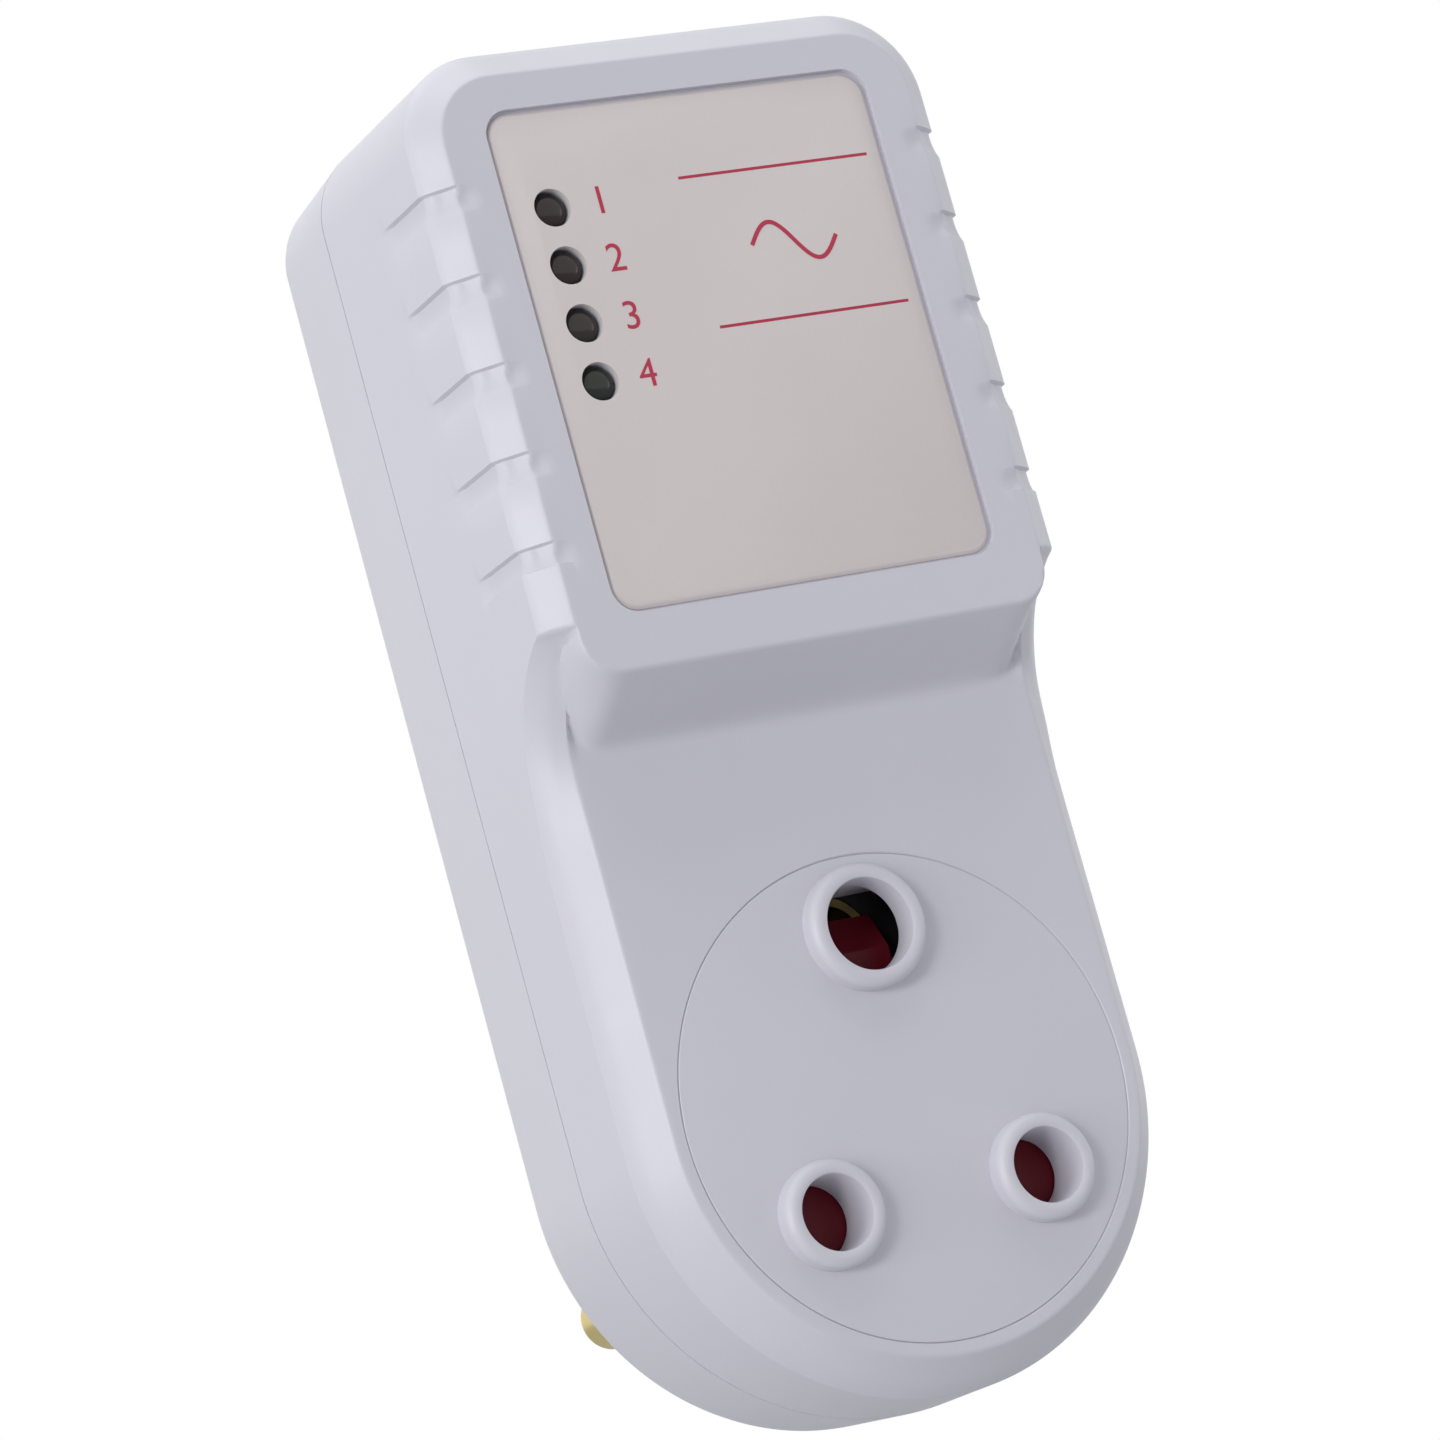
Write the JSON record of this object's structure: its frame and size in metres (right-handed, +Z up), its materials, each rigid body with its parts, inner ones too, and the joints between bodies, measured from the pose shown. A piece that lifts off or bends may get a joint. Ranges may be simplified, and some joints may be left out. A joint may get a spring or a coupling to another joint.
{
  "type": "plug-in voltage protector",
  "caption": "Plug-in appliance voltage protector: tall white shell with a raised head and label, indicator lamps, grip grooves, a round shuttered socket in front and brass plug pins behind.",
  "frame": {"origin": "on the plug base's rear face, which meets the wall outlet, midway between the two line pins", "axes": "+X to the right seen from the front, +Z up, +Y out of the back along the plug pins"},
  "size_m": [0.062, 0.0776, 0.1465],
  "materials": {
    "white_plastic": "satin",
    "label": "printed film",
    "red_plastic": "gloss",
    "black_plastic": "satin",
    "brass": "bright",
    "steel": "zinc plated",
    "board": "solder mask",
    "copper": "enamelled copper",
    "relay_blue": "gloss",
    "varistor_blue": "epoxy dip",
    "capacitor_yellow": "gloss",
    "capacitor_sleeve": "sleeve",
    "resistor": "lacquer",
    "lamp_red": "tinted resin",
    "lamp_amber": "tinted resin",
    "lamp_green": "tinted resin",
    "wire_brown": "insulation",
    "wire_blue": "insulation"
  },
  "bodies": {
    "body": {"front_cover": "white_plastic", "rear_cover": "white_plastic", "socket_insert": "white_plastic", "label_plate": "label", "shutter_spring": "steel", "contact_carrier": "black_plastic", "earth_contact": "brass", "live_contact": "brass", "neutral_contact": "brass", "earth_pin": "brass", "live_pin": "brass", "neutral_pin": "brass", "circuit_board": "board", "relay_base": "black_plastic", "relay_coil": "copper", "relay_yoke": "steel", "relay_contacts": "brass", "relay_case": "relay_blue", "varistors": "varistor_blue", "mains_capacitor": "capacitor_yellow", "smoothing_capacitors": "capacitor_sleeve", "bridge_rectifier": "black_plastic", "microcontroller": "black_plastic", "resistors": "resistor", "thermal_fuse": "steel", "indicator_1": "lamp_red", "indicator_2": "lamp_red", "indicator_3": "lamp_amber", "indicator_4": "lamp_green", "lamp_spacer": "black_plastic", "live_feed_wire": "wire_brown", "live_return_wire": "wire_brown", "neutral_tap_wire": "wire_blue", "cover_screws": "steel", "board_screws": "steel", "carrier_screws": "steel"},
    "shutter": {"shutter": "red_plastic"},
    "relay_armature": {"relay_armature": "steel"}
  },
  "joints": [
    {"name": "shutter_slide", "type": "slide", "parent": "body", "child": "shutter", "axis": [0, 0, -1], "range_m": [0, 0.0079], "stiffness_N_per_m": 120, "springref_m": -0.004, "deforming": ["shutter_spring"]},
    {"name": "relay_armature_hinge", "type": "hinge", "parent": "body", "child": "relay_armature", "pos_m": [0.0036, -0.0227, 0.062], "axis": [0, 0, -1], "range_deg": [0, 3.6], "stiffness_Nm_per_rad": 0.02, "springref_deg": -5.73}
  ]
}
